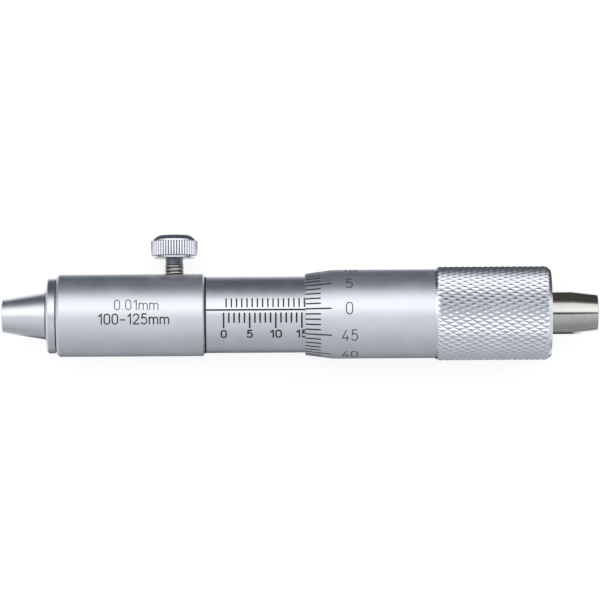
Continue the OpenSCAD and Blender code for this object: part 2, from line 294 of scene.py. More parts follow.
def cut_round_hole(shape, radii, hole_x, hole_turn, hole_r, patch, break_edge=0.08):
    """Cuts a round hole through a tube's wall, with rings of faces round it.

    patch gives the half length and half angle of the area that the rings take up.
    """
    points, faces, ways = shape
    half_x, half_turn = patch
    side_way = way_round(MEASURING_AXIS, 0, 1, hole_turn + math.pi / 2)
    out_way = way_round(MEASURING_AXIS, 0, 1, hole_turn)
    middle = on_axis(MEASURING_AXIS, hole_x, 0, 0)
    # How much of the patch's own form each ring keeps, from the outside in
    ring_shares = (0.55, 0.2, 0.0)

    def spot(index):
        from_middle = points[index] - middle
        return from_middle.dot(AXIS_WAY), from_middle.dot(side_way)

    def in_patch(index, radius):
        from_middle = points[index] - middle
        flat = from_middle - AXIS_WAY * from_middle.dot(AXIS_WAY)
        if abs(flat.length - radius) > SLACK or flat.dot(out_way) <= 0:
            return False
        inside_x = abs(from_middle.dot(AXIS_WAY)) < half_x + SLACK
        return inside_x and abs(math.asin(flat.dot(side_way) / radius)) < half_turn + SLACK

    walls = []
    for radius in radii:
        is_outside = radius == max(radii)
        inside = {i for i in range(len(points)) if in_patch(i, radius)}
        taken = [f for f in faces if all(i in inside for i in f)]
        faces[:] = [f for f in faces if not all(i in inside for i in f)]
        edges = [(f[k], f[(k + 1) % len(f)]) for f in taken for k in range(len(f))]
        border = {a for a, b in edges if (b, a) not in edges}
        loop = sorted(border, key=lambda i: math.atan2(*reversed(spot(i))))
        rings = [loop]
        for share in ring_shares:
            ring = []
            for index in loop:
                u, v = spot(index)
                circle = (hole_r + break_edge) / math.hypot(u, v)
                u, v = u * (share + (1 - share) * circle), v * (share + (1 - share) * circle)
                rise = math.sqrt(radius ** 2 - v ** 2)
                way = (side_way * v + out_way * rise).normalized()
                ring.append(len(points))
                points.append(middle + AXIS_WAY * u + side_way * v + out_way * rise)
                ways.append(way if is_outside else -way)
            rings.append(ring)
        ring = []
        shrink = hole_r / (hole_r + break_edge)
        depth = break_edge if is_outside else -break_edge
        for index in rings[-1]:
            u, v = spot(index)
            rise = math.sqrt(radius ** 2 - v ** 2)
            ring.append(len(points))
            points.append(middle + AXIS_WAY * u * shrink + side_way * v * shrink
                          + out_way * (rise - depth))
            ways.append(-(AXIS_WAY * u + side_way * v).normalized())
        rings.append(ring)
        walls.append(ring)
        for near, far in zip(rings, rings[1:]):
            for k in range(len(loop)):
                n = (k + 1) % len(loop)
                faces.append([near[k], near[n], far[n], far[k]])
    for k in range(len(walls[0])):
        n = (k + 1) % len(walls[0])
        faces.append([walls[0][k], walls[0][n], walls[1][n], walls[1][k]])


def add_piece(name, shape, finish, body, stands_for=None, crease=None):
    """Makes a mesh piece of points, faces and outward directions, and lets it ride on a body.

    Without directions it is shaded smooth, with creases where faces meet at more than an angle.
    """
    points, faces, ways = shape
    mesh = bpy.data.meshes.new(name)
    mesh.from_pydata([p * MM for p in points], [], faces)
    tidy = bmesh.new()
    tidy.from_mesh(mesh)
    loose = [v for v in tidy.verts if not v.link_faces]
    kept = [v.index for v in tidy.verts if v.link_faces]
    bmesh.ops.delete(tidy, geom=loose, context="VERTS")
    bmesh.ops.recalc_face_normals(tidy, faces=tidy.faces)
    tidy.to_mesh(mesh)
    tidy.free()
    mesh.shade_smooth()
    if crease is not None:
        mesh.set_sharp_from_angle(angle=math.radians(crease))
    if ways is not None:
        mesh.normals_split_custom_set_from_vertices([ways[i] for i in kept])
    mesh.materials.append(finish)
    piece = bpy.data.objects.new(name, mesh)
    bpy.context.scene.collection.objects.link(piece)
    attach(piece, body)
    if stands_for:
        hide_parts(stands_for)


# Shader nodes

def feed(socket, source):
    """Gives an input socket a plain value, or a link from another socket. A colour has three parts."""
    if isinstance(source, bpy.types.NodeSocket):
        socket.id_data.links.new(source, socket)
    else:
        socket.default_value = (*source, 1) if socket.type == "RGBA" else source


def add_node(tree, kind, values=(), **settings):
    """Adds a shader node, with its own settings and what its inputs are fed."""
    node = tree.nodes.new(kind)
    for name, value in settings.items():
        setattr(node, name, value)
    for key, value in dict(values).items():
        feed(node.inputs[key], value)
    return node


def calculate(operation, *operands):
    """A math node. Its operands are sockets or numbers, and one at least is a socket."""
    tree = next(o.id_data for o in operands if isinstance(o, bpy.types.NodeSocket))
    node = add_node(tree, "ShaderNodeMath", dict(enumerate(operands)), operation=operation)
    return node.outputs[0]


def spread_values(value, low, high, to_low=0.0, to_high=1.0):
    """Maps a value that runs from low to high onto another run of values."""
    values = dict(enumerate((value, low, high, to_low, to_high)))
    return add_node(value.id_data, "ShaderNodeMapRange", values).outputs[0]


def two_tones(mask, dark, light):
    """Colour that goes from one tone to another with a mask. Each tone is a colour or a socket."""
    values = {"Factor": mask, 6: dark, 7: light}
    return add_node(mask.id_data, "ShaderNodeMix", values, data_type="RGBA").outputs[2]


def blend(first, share, second):
    """Two values mixed, with a share of the first one."""
    parts = ((first, share), (second, 1 - share))
    return calculate("ADD", *[calculate("MULTIPLY", *part) for part in parts])


def noise(tree, **values):
    """Noise in space, or along a line if it is given W and not Vector."""
    dimensions = "1D" if "W" in values else "3D"
    node = add_node(tree, "ShaderNodeTexNoise", values, noise_dimensions=dimensions)
    return node.outputs["Fac"]


def object_place(tree):
    """Place on the object itself, in metres."""
    return add_node(tree, "ShaderNodeTexCoord").outputs["Object"]


def axis_place(tree):
    """How far along the measuring axis a place is, and how far away from it."""
    along, *across = add_node(tree, "ShaderNodeSeparateXYZ", {0: object_place(tree)}).outputs
    squares = [calculate("MULTIPLY", side, side) for side in across]
    return along, calculate("SQRT", calculate("ADD", *squares))


def new_group(name, inputs, outputs):
    """An empty shader node group with named number sockets."""
    tree = bpy.data.node_groups.new(name, "ShaderNodeTree")
    for socket, value in inputs.items():
        given = tree.interface.new_socket(socket, in_out="INPUT", socket_type="NodeSocketFloat")
        given.default_value = value
    for socket in outputs:
        tree.interface.new_socket(socket, in_out="OUTPUT", socket_type="NodeSocketFloat")
    given, result = tree.nodes.new("NodeGroupInput"), tree.nodes.new("NodeGroupOutput")
    return tree, given.outputs, result.inputs


def blasted_grain_group():
    """Fine even grain of a bead-blasted and plated surface."""
    broad_share = 0.06
    tree, given, result = new_group("blasted_grain", {"Size": 9000.0}, ["Height", "Mask"])
    place = object_place(tree)
    fine = noise(tree, Vector=place, Scale=given["Size"], Detail=3.0, Roughness=0.62)
    broad_size = calculate("MULTIPLY", given["Size"], broad_share)
    broad = noise(tree, Vector=place, Scale=broad_size, Detail=2.0)
    feed(result["Height"], fine)
    feed(result["Mask"], spread_values(blend(fine, 0.5, broad), 0.32, 0.68))
    return tree


def turning_lines_group():
    """Fine rings that a turning or grinding tool leaves round the measuring axis."""
    tree, given, result = new_group("turning_lines", {"Lines per metre": 12000.0}, ["Height", "Mask"])
    run = calculate("ADD", *axis_place(tree))
    rings = noise(tree, W=run, Scale=given["Lines per metre"], Detail=3.0, Roughness=0.7)
    feed(result["Height"], rings)
    feed(result["Mask"], spread_values(rings, 0.3, 0.7))
    return tree


def handling_marks_group():
    """Faint smudges and hairline scratches from use."""
    tree, given, result = new_group("handling_marks", {"Size": 160.0}, ["Smudge", "Scratch"])
    place, size = object_place(tree), given["Size"]
    smudge = noise(tree, Vector=place, Scale=size, Detail=4.0, Roughness=0.55, Distortion=0.6)
    stretch = {"Vector": place, "Rotation": (0.4, 0.3, 0.9), "Scale": (1.0, 22.0, 22.0)}
    slant = add_node(tree, "ShaderNodeMapping", stretch).outputs["Vector"]
    hair = noise(tree, Vector=slant, Scale=size, Detail=2.0)
    feed(result["Smudge"], spread_values(smudge, 0.38, 0.66))
    feed(result["Scratch"], spread_values(hair, 0.66, 0.74))
    return tree


def lock_height_group():
    """How high a place is between two radii from the lock screw, and its millimetres along it."""
    radii = {"Low radius": 1.0, "High radius": 2.0}
    tree, given, result = new_group("lock_height", radii, ["Height", "Along"])

    def vector_math(operation, *operands):
        values = dict(enumerate(operands))
        return add_node(tree, "ShaderNodeVectorMath", values, operation=operation).outputs

    from_screw = vector_math("SUBTRACT", object_place(tree), (SCREW_X * MM, 0, 0))[0]
    across = vector_math("CROSS_PRODUCT", from_screw, SCREW_WAY / MM)[0]
    radius = vector_math("LENGTH", across)["Value"]
    feed(result["Height"], spread_values(radius, given["Low radius"], given["High radius"]))
    feed(result["Along"], vector_math("DOT_PRODUCT", from_screw, SCREW_WAY / MM)["Value"])
    return tree


BLASTED_GRAIN = blasted_grain_group()
TURNING_LINES = turning_lines_group()
HANDLING_MARKS = handling_marks_group()
LOCK_HEIGHT = lock_height_group()


def place_group(tree, group, **values):
    """Places an effect in a material, with its own values."""
    named = {name.replace("_", " "): value for name, value in values.items()}
    return add_node(tree, "ShaderNodeGroup", named, node_tree=group).outputs


def new_finish(name, metallic=1.0):
    """A material, its node tree and its shader's inputs, ready for effects."""
    finish = bpy.data.materials.new(name)
    finish.use_nodes = True
    shader = finish.node_tree.nodes["Principled BSDF"].inputs
    feed(shader["Metallic"], metallic)
    return finish, finish.node_tree, shader


def add_bump(shader, height, strength, depth_mm, below=None):
    """Lets a height show in the shading, on top of another bump if one is given."""
    values = {"Strength": strength, "Distance": depth_mm * MM, "Height": height}
    if below is not None:
        values["Normal"] = below
    bump = add_node(height.id_data, "ShaderNodeBump", values).outputs["Normal"]
    feed(shader["Normal"], bump)
    return bump


def satin_chrome(name, dark, light, smooth, rough, grain_depth):
    """Matt chrome plate over a bead-blasted surface."""
    finish, tree, shader = new_finish(name)
    grain = place_group(tree, BLASTED_GRAIN, Size=9000.0)
    marks = place_group(tree, HANDLING_MARKS, Size=150.0)
    tone = blend(grain["Mask"], 0.6, marks["Smudge"])
    worn = calculate("SUBTRACT", tone, calculate("MULTIPLY", marks["Scratch"], 0.25))
    feed(shader["Base Color"], two_tones(tone, dark, light))
    feed(shader["Roughness"], spread_values(worn, 0.0, 1.0, smooth, rough))
    add_bump(shader, grain["Height"], 0.35, grain_depth)
    return finish


def grip_chrome():
    """Matt chrome on the knurl: points rubbed shinier, grooves darkened with painted shade."""
    finish, tree, shader = new_finish("grip_chrome")
    grain = place_group(tree, BLASTED_GRAIN, Size=9000.0)
    marks = place_group(tree, HANDLING_MARKS, Size=190.0)
    along, radius = axis_place(tree)
    lead = spread_values(along, GRIP_X * MM, LEAD_END_X * MM, GRIP_LEAD_R * MM, GRIP_R * MM)
    drop = spread_values(along, DROP_X * MM, THIMBLE_END_X * MM, GRIP_R * MM, GRIP_END_R * MM)
    # Painted shade: the base colour darkens to a bluish grey towards the bottom of the knurl's grooves
    deep = calculate("SUBTRACT", calculate("MINIMUM", lead, drop), radius)
    height = spread_values(deep, 0.0, KNURL_DEPTH * MM, 1.0, 0.0)
    inside = calculate("LESS_THAN", radius, (GRIP_END_R - 0.01) * MM)
    unshaded = calculate("MAXIMUM", spread_values(height, 0.0, 0.36), inside)
    tone = calculate("MULTIPLY", unshaded, spread_values(marks["Smudge"], 0.0, 1.0, 0.85, 1.0))
    rubbed = spread_values(height, 0.55, 1.0, 0.31, 0.23)
    rough = calculate("ADD", rubbed, calculate("MULTIPLY", grain["Mask"], 0.05))
    feed(shader["Base Color"], two_tones(tone, (0.50, 0.53, 0.59), (0.89, 0.90, 0.92)))
    feed(shader["Roughness"], rough)
    add_bump(shader, grain["Height"], 0.25, 0.008)
    return finish


def ground_steel(name, dark, light, smooth, rough, lines):
    """Hardened steel with the rings that grinding leaves."""
    finish, tree, shader = new_finish(name)
    rings = place_group(tree, TURNING_LINES, Lines_per_metre=lines)
    marks = place_group(tree, HANDLING_MARKS, Size=210.0)
    tone = blend(rings["Mask"], 0.65, marks["Smudge"])
    worn = calculate("ADD", tone, calculate("MULTIPLY", marks["Scratch"], 0.4))
    feed(shader["Base Color"], two_tones(tone, dark, light))
    feed(shader["Roughness"], spread_values(worn, 0.0, 1.4, smooth, rough))
    add_bump(shader, rings["Height"], 0.3, 0.004)
    return finish


def bright_chrome():
    """Bright chrome plate of the lock knob, with painted shade in its grooves and on its underside,
    and ringed on its crown.
    """
    skin = 0.03
    finish, tree, shader = new_finish("bright_chrome")
    marks = place_group(tree, HANDLING_MARKS, Size=320.0)
    grain = place_group(tree, BLASTED_GRAIN, Size=5000.0)
    # Painted shade: the ridges' grooves and the knob's underside get a dark base colour, and smudges
    # lower the rest a little
    low_r, high_r = KNOB_R - RIDGE_DEPTH, KNOB_R - skin
    stand = place_group(tree, LOCK_HEIGHT, Low_radius=low_r, High_radius=high_r)
    above = calculate("GREATER_THAN", stand["Along"], GROOVE_BASE)
    below = calculate("LESS_THAN", stand["Along"], BAND_TOP - 0.02)
    deep = calculate("MULTIPLY", calculate("SUBTRACT", 1.0, stand["Height"]), above)
    groove = calculate("MULTIPLY", deep, below)
    under = calculate("LESS_THAN", stand["Along"], KNOB_BASE + skin)
    painted_shade = calculate("MAXIMUM", groove, under)
    unshaded = calculate("SUBTRACT", spread_values(marks["Smudge"], 0.0, 1.0, 0.9, 1.0), painted_shade)
    across = place_group(tree, LOCK_HEIGHT, Low_radius=0.0, High_radius=KNOB_R)
    rings = noise(tree, W=across["Height"], Scale=75.0, Detail=2.0)
    ringed = calculate("MULTIPLY", rings, calculate("SUBTRACT", 1.0, below))
    worn = blend(marks["Smudge"], 0.5, grain["Mask"])
    plain = spread_values(worn, 0.0, 1.0, 0.18, 0.27)
    feed(shader["Base Color"], two_tones(unshaded, (0.16, 0.16, 0.19), (0.90, 0.91, 0.93)))
    feed(shader["Roughness"], calculate("ADD", plain, calculate("MULTIPLY", ringed, 0.12)))
    plated = add_bump(shader, grain["Height"], 0.15, 0.004)
    add_bump(shader, ringed, 0.35, 0.012, plated)
    return finish


def dark_steel():
    """Turned steel of the stud, in dark bluish to brown tones at the core radius of its neck and
    thread, and lighter on the crests.
    """
    finish, tree, shader = new_finish("dark_steel")
    marks = place_group(tree, HANDLING_MARKS, Size=620.0)
    grain = place_group(tree, BLASTED_GRAIN, Size=6000.0)
    low_r, high_r = STUD_CORE_R + 0.06, STUD_R - 0.03
    stand = place_group(tree, LOCK_HEIGHT, Low_radius=low_r, High_radius=high_r)
    faint = spread_values(marks["Smudge"], 0.0, 1.0, 0.7, 1.0)
    rubbed = calculate("MULTIPLY", stand["Height"], faint)
    # Dark tones at the core radius, varied by the smudges
    core_tone = two_tones(marks["Smudge"], (0.12, 0.145, 0.175), (0.24, 0.235, 0.22))
    feed(shader["Base Color"], two_tones(rubbed, core_tone, (0.80, 0.76, 0.69)))
    feed(shader["Roughness"], spread_values(grain["Mask"], 0.0, 1.0, 0.24, 0.38))
    add_bump(shader, grain["Height"], 0.3, 0.006)
    return finish


def brass():
    """Turned brass of the pad."""
    finish, tree, shader = new_finish("pad_brass")
    marks = place_group(tree, HANDLING_MARKS, Size=500.0)
    tone = two_tones(marks["Smudge"], (0.62, 0.44, 0.18), (0.80, 0.62, 0.30))
    feed(shader["Base Color"], tone)
    feed(shader["Roughness"], spread_values(marks["Scratch"], 0.0, 1.0, 0.26, 0.4))
    return finish


def mark_paint():
    """Dark filler rubbed into the engraved marks, also used for the painted shade in the seams."""
    finish, tree, shader = new_finish("mark_paint", metallic=0.0)
    marks = place_group(tree, HANDLING_MARKS, Size=900.0)
    grain = place_group(tree, BLASTED_GRAIN, Size=12000.0)
    worn = calculate("MULTIPLY", marks["Smudge"], grain["Mask"])
    tone = two_tones(worn, (0.022, 0.018, 0.014), (0.080, 0.064, 0.048))
    feed(shader["Base Color"], tone)
    feed(shader["Roughness"], spread_values(grain["Mask"], 0.0, 1.0, 0.62, 0.80))
    feed(shader["Specular IOR Level"], 0.25)
    add_bump(shader, grain["Height"], 0.3, 0.006)
    return finish


SATIN = satin_chrome("satin_chrome", (0.78, 0.795, 0.82), (0.86, 0.875, 0.90), 0.44, 0.52, 0.010)
SLEEVE_SATIN = satin_chrome("sleeve_satin_chrome", (0.77, 0.785, 0.81), (0.85, 0.865, 0.89),
                            0.38, 0.46, 0.008)
SMOOTH_SATIN = satin_chrome("smooth_satin_chrome", (0.76, 0.775, 0.80), (0.84, 0.855, 0.88),
                            0.34, 0.41, 0.006)
GRIP = grip_chrome()
STEEL = ground_steel("ground_steel", (0.50, 0.485, 0.460), (0.645, 0.627, 0.597), 0.10, 0.18, 9000.0)
CARBIDE = ground_steel("lapped_carbide", (0.30, 0.305, 0.31), (0.40, 0.405, 0.41), 0.17, 0.26, 15000.0)
KNOB_CHROME = bright_chrome()
STUD_STEEL = dark_steel()
BRASS = brass()
PAINT = mark_paint()


# Fixed pieces

def make_anvil():
    """Conical nose with its domed face, flange and hollow spigot."""
    pocket_x, pocket_r = INSERT_LEN + INSERT_GAP, INSERT_R + INSERT_GAP
    rim_x, rim_width, rim_drop = NOSE_LEN + FLANGE_DISH, 0.3, 0.35
    face = domed(0, 1, pocket_r, NOSE_TIP_R - FACE_BREAK)
    corners = [
        (pocket_x, 0, 0), (pocket_x, pocket_r, 0.05),
        (face[0][0], face[0][1], 0.03), *face[1:-1], (face[-1][0], face[-1][1], 0.12),
        (NOSE_LEN, NOSE_BASE_R, 0.22), (rim_x, FLANGE_R - rim_drop, 0.25),
        (rim_x + rim_width, FLANGE_R, 0.25), (FLANGE_END_X, FLANGE_R, 0.18),
        (FLANGE_END_X, SPIGOT_R, 0.05), (SPIGOT_END_X, SPIGOT_R, 0.15),
        (SPIGOT_END_X, TAIL_ROOM_R, 0.1), (TAIL_ROOM_X, TAIL_ROOM_R, 0.1), (TAIL_ROOM_X, 0, 0),
    ]
    add_piece("anvil_turned", turned_shape(corners), SMOOTH_SATIN, "body", "anvil")


def make_insert(name, face_x, side, body, node):
    """Carbide measuring face let into the end of the anvil or the spindle."""
    face = domed(face_x, side, 0, INSERT_R - INSERT_BREAK)
    back_x = face_x + side * INSERT_LEN
    edge = (face[-1][0], face[-1][1], 0.03)
    corners = [*face[:-1], edge, (back_x, INSERT_R, 0.05), (back_x, 0, 0)]
    if side < 0:
        corners.reverse()
    add_piece(name, turned_shape(corners), CARBIDE, body, node)


def drilled_tube(start, end, out_r, left_edge, right_edge, hole_x, hole_turn, hole_r, patch):
    """Tube with a round hole in its wall, and extra points beside the hole."""
    steps = 9
    near, far = hole_x - patch[0], hole_x + patch[0]
    outside = spread(near, far, out_r, steps)
    inside = spread(far, near, TUBE_BORE_R, steps)
    ends = [(start, TUBE_BORE_R, 0.1), (end, TUBE_BORE_R, 0.1)]
    corners = [ends[0], *left_edge, *outside, *right_edge, ends[1], *inside]
    shape = turned_shape(corners, closed=True)
    cut_round_hole(shape, (out_r, TUBE_BORE_R), hole_x, hole_turn, hole_r, patch)
    return shape


def make_body():
    """Outer tube with chamfered ends and the lock screw's hole."""
    soft = 0.16
    patch = (3.2, math.radians(22.5))
    end_x = BODY_END_X - SEAM_WIDTH
    left = [(BODY_X, BODY_R - BODY_CHAMFER, soft), (BODY_X + BODY_CHAMFER, BODY_R, soft * 2)]
    end_chamfer = 0.6 * BODY_CHAMFER
    right = [(end_x - end_chamfer, BODY_R, soft), (end_x, BODY_R - BODY_CHAMFER, soft)]
    shape = drilled_tube(BODY_X, end_x, BODY_R, left, right, SCREW_X, 0, STUD_HOLE_R, patch)
    add_piece("body_tube", shape, SATIN, "body", "body")


def make_sleeve():
    """Thin tube that carries the scale, with a hole in its back for a hook spanner."""
    patch = (1.4, math.radians(11.25))
    back_turn = math.radians(-90)
    left = [(SLEEVE_X, SLEEVE_R, 0.1)]
    right = [(SLEEVE_END_X, SLEEVE_R, 0.25)]
    shape = drilled_tube(SLEEVE_X, SLEEVE_END_X, SLEEVE_R, left, right,
                         SPANNER_X, back_turn, SPANNER_HOLE_R, patch)
    add_piece("sleeve_tube", shape, SLEEVE_SATIN, "body", "graduated_sleeve")


def make_seams():
    """Painted shade: dark rings in the seams at both ends of the body and at the root of the nose."""
    sink, lift = 0.04, 0.012
    root_back, root_drop, root_lift, rim_drop = 0.16, 0.2, 0.05, 0.22
    rings = [
        (NOSE_LEN - root_back, NOSE_LEN + sink, NOSE_BASE_R - root_drop, NOSE_BASE_R + root_lift),
        (FLANGE_END_X - sink, BODY_X + sink, SPIGOT_R + sink, FLANGE_R - rim_drop),
        (BODY_END_X - SEAM_WIDTH - sink, BODY_END_X + sink, TUBE_BORE_R + sink, SLEEVE_R + lift),
    ]
    points, faces = [], []
    for start, end, low_r, high_r in rings:
        corners = [(start, low_r, 0), (start, high_r, 0), (end, high_r, 0), (end, low_r, 0)]
        ring_points, ring_faces, _ = turned_shape(corners, closed=True)
        faces += [[i + len(points) for i in face] for face in ring_faces]
        points += ring_points
    # The rings carry painted shade, standing in for the shade in the narrow seams
    add_piece("seam_painted_shade", (points, faces, None), PAINT, "body", crease=MARK_CREASE)


# Moving pieces

def make_spindle():
    """Measuring screw, with the tapered end that shows."""
    pocket_x, pocket_r = FACE_X - INSERT_LEN - INSERT_GAP, INSERT_R + INSERT_GAP
    face = domed(FACE_X, -1, TIP_R - FACE_BREAK, pocket_r)
    thread_step = THREAD_R - TAIL_R
    corners = [
        (TAIL_X, 0, 0), (TAIL_X, TAIL_R, 0.2), (THREAD_X, TAIL_R, 0.1),
        (THREAD_X + thread_step, THREAD_R, 0.1), (END_WALL_X, THREAD_R, 0.1),
        (END_WALL_X, TAPER_R, 0.1), (NUT_SEAT_X, NUT_THREAD_R, 0.1),
        (NUT_THREAD_END_X, NUT_THREAD_R, 0.1), (NUT_THREAD_END_X, SPINDLE_R, 0.1),
        (FACE_X - TIP_LEN, SPINDLE_R, 0.8), (face[0][0], face[0][1], 0.14), *face[1:-1],
        (face[-1][0], face[-1][1], 0.03), (pocket_x, pocket_r, 0.05), (pocket_x, 0, 0),
    ]
    add_piece("spindle_turned", turned_shape(corners), STEEL, "spindle", "spindle")


def make_thimble_plain():
    """Plain part of the thimble with its reading bevel, up to the grip."""
    corners = [
        (THIMBLE_X, THIMBLE_BORE_R, 0.05), (THIMBLE_X, EDGE_R, 0.06), (BEVEL_END_X, PLAIN_R, 1.2),
        (GRIP_X, PLAIN_R, 0.02), (GRIP_X, THIMBLE_BORE_R, 0.02),
    ]
    shape = turned_shape(corners, closed=True)
    add_piece("thimble_plain", shape, SATIN, "thimble", "thimble")


def groove_share(phase):
    """How far a point stands out of a groove: 0 in its bottom, 1 halfway to the next one."""
    near = abs(phase - round(phase)) * 2
    return 1 - (1 - near) ** GROOVE_ROUND


def grip_limit(x):
    """Largest radius of the grip at a place along it, with its two chamfered ends."""
    lead = GRIP_LEAD_R + (GRIP_R - GRIP_LEAD_R) * (x - GRIP_X) / GRIP_LEAD
    drop = GRIP_END_R + (GRIP_R - GRIP_END_R) * (THIMBLE_END_X - x) / GRIP_CHAMFER
    return min(GRIP_R, lead, drop)


def knurl_grid():
    """Points and triangles of the knurl, on a grid that follows its two sets of grooves."""
    cuts = KNURL_CUTS
    rising, falling = RISING_STARTS * cuts, FALLING_STARTS * cuts
    per_turn = RISING_STARTS / FALLING_PITCH + FALLING_STARTS / RISING_PITCH
    length = RISING_STARTS * FALLING_STARTS / per_turn
    spare = 2.6
    index, places, faces = {}, [], []

    def corner(a, b):
        lap = a // rising
        key = (a - lap * rising, b - lap * falling)
        if key not in index:
            index[key] = len(places)
            p, q = key[0] / cuts, key[1] / cuts
            x = GRIP_X + length * (p / RISING_STARTS - q / FALLING_STARTS)
            turn = (p / FALLING_PITCH + q / RISING_PITCH) / per_turn
            stand = min(groove_share(p), groove_share(q))
            places.append((x, GRIP_R - KNURL_DEPTH * (1 - stand), 2 * math.pi * turn))
        return index[key]

    row = length / FALLING_STARTS
    for p in range(RISING_STARTS):
        middle_x = length * (p + 0.5) / RISING_STARTS
        first = math.floor((middle_x - (THIMBLE_END_X - GRIP_X) - spare) / row)
        last = math.ceil((middle_x + spare) / row)
        for q in range(first, last):
            for i in range(cuts):
                for j in range(cuts):
                    a, b = p * cuts + i, q * cuts + j
                    quad = [corner(a, b), corner(a + 1, b), corner(a + 1, b + 1), corner(a, b + 1)]
                    if (i < cuts / 2) == (j < cuts / 2):
                        faces += [[quad[0], quad[1], quad[2]], [quad[0], quad[2], quad[3]]]
                    else:
                        faces += [[quad[0], quad[1], quad[3]], [quad[1], quad[2], quad[3]]]
    return places, faces


def stitch(near, far):
    """Triangles between two rings of (turn, index) that have different numbers of points."""
    near, far = sorted(near), sorted(far)
    near.append((near[0][0] + 2 * math.pi, near[0][1]))
    far.append((far[0][0] + 2 * math.pi, far[0][1]))
    i = j = 0
    faces = []
    while i < len(near) - 1 or j < len(far) - 1:
        if j == len(far) - 1 or (i < len(near) - 1 and near[i + 1][0] <= far[j + 1][0]):
            faces.append([near[i][1], near[i + 1][1], far[j][1]])
            i += 1
        else:
            faces.append([near[i][1], far[j + 1][1], far[j][1]])
            j += 1
    return faces


def make_grip():
    """Knurled end of the thimble, with its end wall, taper and pocket for the ring nut."""
    taper_gap = 0.05
    places, faces = knurl_grid()
    flat = bmesh.new()
    corners = [flat.verts.new(on_axis(MEASURING_AXIS, *place)) for place in places]
    for face in faces:
        flat.faces.new([corners[i] for i in face])
    for x, clear in ((GRIP_X, -1), (LEAD_END_X, 0), (DROP_X, 0), (THIMBLE_END_X, 1)):
        whole = flat.verts[:] + flat.edges[:] + flat.faces[:]
        bmesh.ops.bisect_plane(flat, geom=whole, dist=1e-5, plane_co=(x, 0, 0), plane_no=(1, 0, 0),
                               clear_inner=clear < 0, clear_outer=clear > 0)
    points, rings = [], {GRIP_X: [], THIMBLE_END_X: []}
    flat.verts.index_update()
    for vert in flat.verts:
        x = vert.co.x
        out = vert.co - AXIS_WAY * x
        points.append(AXIS_WAY * x + out.normalized() * min(out.length, grip_limit(x)))
        turn = math.atan2(out.dot(SCALE_WAY), out.dot(SCREW_WAY)) % (2 * math.pi)
        for end_x, ring in rings.items():
            if abs(x - end_x) < SLACK:
                ring.append((turn, vert.index))
    faces = [[v.index for v in f.verts] for f in flat.faces]
    flat.free()
    hollow = [
        (THIMBLE_END_X, NUT_POCKET_R, 0.1), (NUT_SEAT_X, NUT_POCKET_R, 0.05),
        (NUT_SEAT_X, NUT_BORE_R, 0.05), (END_WALL_X, TAPER_R + taper_gap, 0.05),
        (END_WALL_X, THIMBLE_BORE_R, 0.05), (GRIP_X, THIMBLE_BORE_R, 0),
    ]
    inner, inner_faces, _ = turned_shape(hollow)
    first = len(points)
    points += inner
    faces += [[i + first for i in face] for face in inner_faces]
    ring_turns = [2 * math.pi * j / AROUND for j in range(AROUND)]
    last = len(points) - AROUND
    for end_x, start in ((THIMBLE_END_X, first), (GRIP_X, last)):
        faces += stitch(rings[end_x], [(t, start + j) for j, t in enumerate(ring_turns)])
    add_piece("thimble_grip", (points, faces, None), GRIP, "thimble", "thimble",
              crease=GRIP_CREASE)


def make_knob():
    """Lock knob: a band of straight ridges under a rounded crown."""
    groove_r = KNOB_R - RIDGE_DEPTH
    corners = [
        (KNOB_BASE, 0, 0), (KNOB_BASE, KNOB_UNDER_R, 0.06), (GROOVE_BASE, groove_r, 0.03),
        (BAND_BASE, groove_r, 0.02), (BAND_BASE, KNOB_R, 0.16), (BAND_TOP, KNOB_R, 0.20),
        (BAND_TOP, CROWN_R, 0.04), (BAND_TOP + CROWN_STEP, CROWN_R, 0.25),
        (KNOB_TOP, CROWN_TOP_R, 1.3), (KNOB_TOP, 0, 0),
    ]

    def ridge(turn):
        phase = KNOB_RIDGES * turn / (2 * math.pi)
        near = abs(phase - round(phase)) * 2
        return KNOB_R - RIDGE_DEPTH * near ** RIDGE_ROUND

    around = KNOB_RIDGES * RIDGE_CUTS
    points, faces, _ = lathe(LOCK_AXIS, rounded(corners, False), False, around, ridge)
    add_piece("lock_knob_turned", (points, faces, None), KNOB_CHROME, "lock_screw",
              "lock_knob", crease=KNOB_CREASE)


def make_stud():
    """Threaded stud with a plain neck under the knob."""
    around, per_pitch = 96, 24
    run_out, shift = 0.22, 0.26
    root_share, flank_share = 0.08, 0.8

    def thread(along, turn):
        phase = (along - shift) / STUD_PITCH - turn / (2 * math.pi)
        near = abs(phase - round(phase)) * 2
        crest = min(1, max(0, (near - root_share) / flank_share))
        from_end = min(NECK_BASE - along, along - STUD_TIP)
        fade = min(1, max(0, from_end / run_out))
        return STUD_CORE_R + (STUD_R - STUD_CORE_R) * crest * fade

    steps = math.ceil((NECK_BASE - STUD_TIP) / STUD_PITCH * per_pitch)
    runs = [*np.linspace(STUD_TIP, NECK_BASE, steps + 1), KNOB_BASE, KNOB_BASE + STUD_IN_KNOB]
    side = [(along, STUD_CORE_R, 0, 1) for along in runs]
    outline = [(STUD_TIP, 0, -1, 0), *side, (runs[-1], 0, 1, 0)]
    points, faces, _ = lathe(LOCK_AXIS, outline, False, around)
    for k, along in enumerate(runs):
        for j in range(around):
            turn = 2 * math.pi * j / around
            points[1 + k * around + j] = on_axis(LOCK_AXIS, along, thread(along, turn), turn)
    add_piece("lock_stud_turned", (points, faces, None), STUD_STEEL, "lock_screw",
              "lock_stud", crease=STUD_CREASE)


# Marks

def bow(middle, reach, start, end):
    """Points on an arc, from one angle to another in degrees."""
    fewest, step = 3, 14
    count = max(fewest, math.ceil(abs(end - start) / step))
    turns = np.radians(np.linspace(start, end, count + 1))
    return [(middle[0] + reach[0] * math.cos(t), middle[1] + reach[1] * math.sin(t)) for t in turns]


